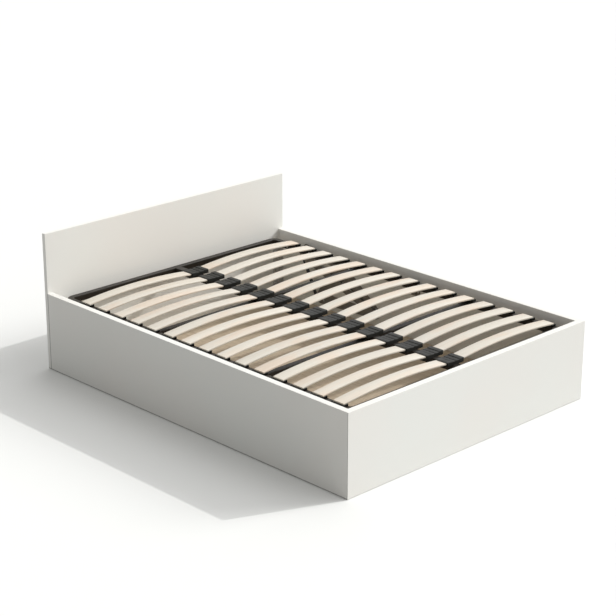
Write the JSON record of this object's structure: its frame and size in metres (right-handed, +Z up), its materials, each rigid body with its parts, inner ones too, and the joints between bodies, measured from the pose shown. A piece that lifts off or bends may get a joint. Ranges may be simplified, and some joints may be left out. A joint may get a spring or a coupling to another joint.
{
  "type": "ottoman bed",
  "caption": "Low board bed with a flat headboard and a crowned slat frame that lifts at the foot end on arms and gas struts to open a storage box.",
  "frame": {"origin": "on the floor, at the middle of the bed's width and length", "axes": "+Y to the headboard, +Z up, +X to the right as seen from the foot end"},
  "size_m": [1.574, 2.076, 0.7],
  "materials": {
    "white_board": "white laminated board",
    "floor_board": "thin board with a pale printed face",
    "batten_wood": "planed softwood",
    "slat_veneer": "bent veneer, clear lacquer",
    "frame_steel": "satin powder coat",
    "dark_steel": "satin powder coat",
    "holder_plastic": "matte moulded",
    "zinc_steel": "bright zinc plate",
    "strut_paint": "gloss black paint",
    "strut_chrome": "polished",
    "black_rubber": "matte"
  },
  "bodies": {
    "box": {"headboard": "white_board", "left_side_panel": "white_board", "right_side_panel": "white_board", "foot_panel": "white_board", "floor_boards": "floor_board", "floor_battens": "batten_wood", "corner_brackets": "zinc_steel", "frame_rests": "dark_steel", "rubber_pads": "black_rubber", "panel_screws": "zinc_steel", "base_pins": "zinc_steel", "left_base_plate": "dark_steel", "right_base_plate": "dark_steel"},
    "left_long_arm": {"left_long_arm": "dark_steel"},
    "right_long_arm": {"right_long_arm": "dark_steel"},
    "left_short_arm": {"left_short_arm": "dark_steel"},
    "right_short_arm": {"right_short_arm": "dark_steel"},
    "slat_frame": {"frame_straight_tubes": "frame_steel", "frame_corner_bends": "frame_steel", "centre_beam": "frame_steel", "cross_tubes": "frame_steel", "centre_slat_holders": "holder_plastic", "side_slat_holders": "holder_plastic", "left_top_rail": "dark_steel", "right_top_rail": "dark_steel", "rail_fasteners": "zinc_steel", "left_slat_01": "slat_veneer", "left_slat_02": "slat_veneer", "left_slat_03": "slat_veneer", "left_slat_04": "slat_veneer", "left_slat_05": "slat_veneer", "left_slat_06": "slat_veneer", "left_slat_07": "slat_veneer", "left_slat_08": "slat_veneer", "left_slat_09": "slat_veneer", "left_slat_10": "slat_veneer", "left_slat_11": "slat_veneer", "left_slat_12": "slat_veneer", "left_slat_13": "slat_veneer", "left_slat_14": "slat_veneer", "left_slat_15": "slat_veneer", "right_slat_01": "slat_veneer", "right_slat_02": "slat_veneer", "right_slat_03": "slat_veneer", "right_slat_04": "slat_veneer", "right_slat_05": "slat_veneer", "right_slat_06": "slat_veneer", "right_slat_07": "slat_veneer", "right_slat_08": "slat_veneer", "right_slat_09": "slat_veneer", "right_slat_10": "slat_veneer", "right_slat_11": "slat_veneer", "right_slat_12": "slat_veneer", "right_slat_13": "slat_veneer", "right_slat_14": "slat_veneer", "right_slat_15": "slat_veneer"},
    "left_strut_cylinder": {"left_strut_cylinder": "strut_paint"},
    "left_strut_rod": {"left_strut_rod": "strut_chrome"},
    "right_strut_cylinder": {"right_strut_cylinder": "strut_paint"},
    "right_strut_rod": {"right_strut_rod": "strut_chrome"}
  },
  "joints": [
    {"name": "lift", "type": "hinge", "parent": "box", "child": "left_long_arm", "pos_m": [-0.739, 0.28, 0.1], "axis": [1, 0, 0], "range_deg": [0, 34]},
    {"name": "frame_pivot", "type": "hinge", "parent": "left_long_arm", "child": "slat_frame", "pos_m": [-0.739, 0.732, 0.268], "axis": [-1, 0, 0], "range_deg": [0, 72]},
    {"name": "right_lift", "type": "hinge", "parent": "box", "child": "right_long_arm", "pos_m": [0.739, 0.28, 0.1], "axis": [1, 0, 0], "range_deg": [0, 34.1]},
    {"name": "left_short_arm_pivot", "type": "hinge", "parent": "box", "child": "left_short_arm", "pos_m": [-0.7465, 0.548, 0.297], "axis": [1, 0, 0], "range_deg": [0, 54]},
    {"name": "right_short_arm_pivot", "type": "hinge", "parent": "box", "child": "right_short_arm", "pos_m": [0.7465, 0.548, 0.297], "axis": [1, 0, 0], "range_deg": [0, 54]},
    {"name": "left_strut_base", "type": "hinge", "parent": "box", "child": "left_strut_cylinder", "pos_m": [-0.723, 0.68048, 0.08499], "axis": [1, 0, 0], "range_deg": [0, 27]},
    {"name": "right_strut_base", "type": "hinge", "parent": "box", "child": "right_strut_cylinder", "pos_m": [0.723, 0.68048, 0.08499], "axis": [1, 0, 0], "range_deg": [0, 27]},
    {"name": "left_strut_top", "type": "hinge", "parent": "left_short_arm", "child": "left_strut_rod", "pos_m": [-0.723, 0.79739, 0.31444], "axis": [-1, 0, 0], "range_deg": [0, 27]},
    {"name": "right_strut_top", "type": "hinge", "parent": "right_short_arm", "child": "right_strut_rod", "pos_m": [0.723, 0.79739, 0.31444], "axis": [-1, 0, 0], "range_deg": [0, 27]}
  ],
  "couplings": [
    {"joint": "frame_pivot", "follows": "lift", "ratio": 2.1083},
    {"joint": "right_lift", "follows": "lift", "ratio": 1},
    {"joint": "left_short_arm_pivot", "follows": "lift", "ratio": 1.5699},
    {"joint": "right_short_arm_pivot", "follows": "lift", "ratio": 1.5699},
    {"joint": "left_strut_base", "follows": "lift", "ratio": 0.78495},
    {"joint": "left_strut_top", "follows": "lift", "ratio": 0.78495},
    {"joint": "right_strut_base", "follows": "lift", "ratio": 0.78495},
    {"joint": "right_strut_top", "follows": "lift", "ratio": 0.78495}
  ]
}
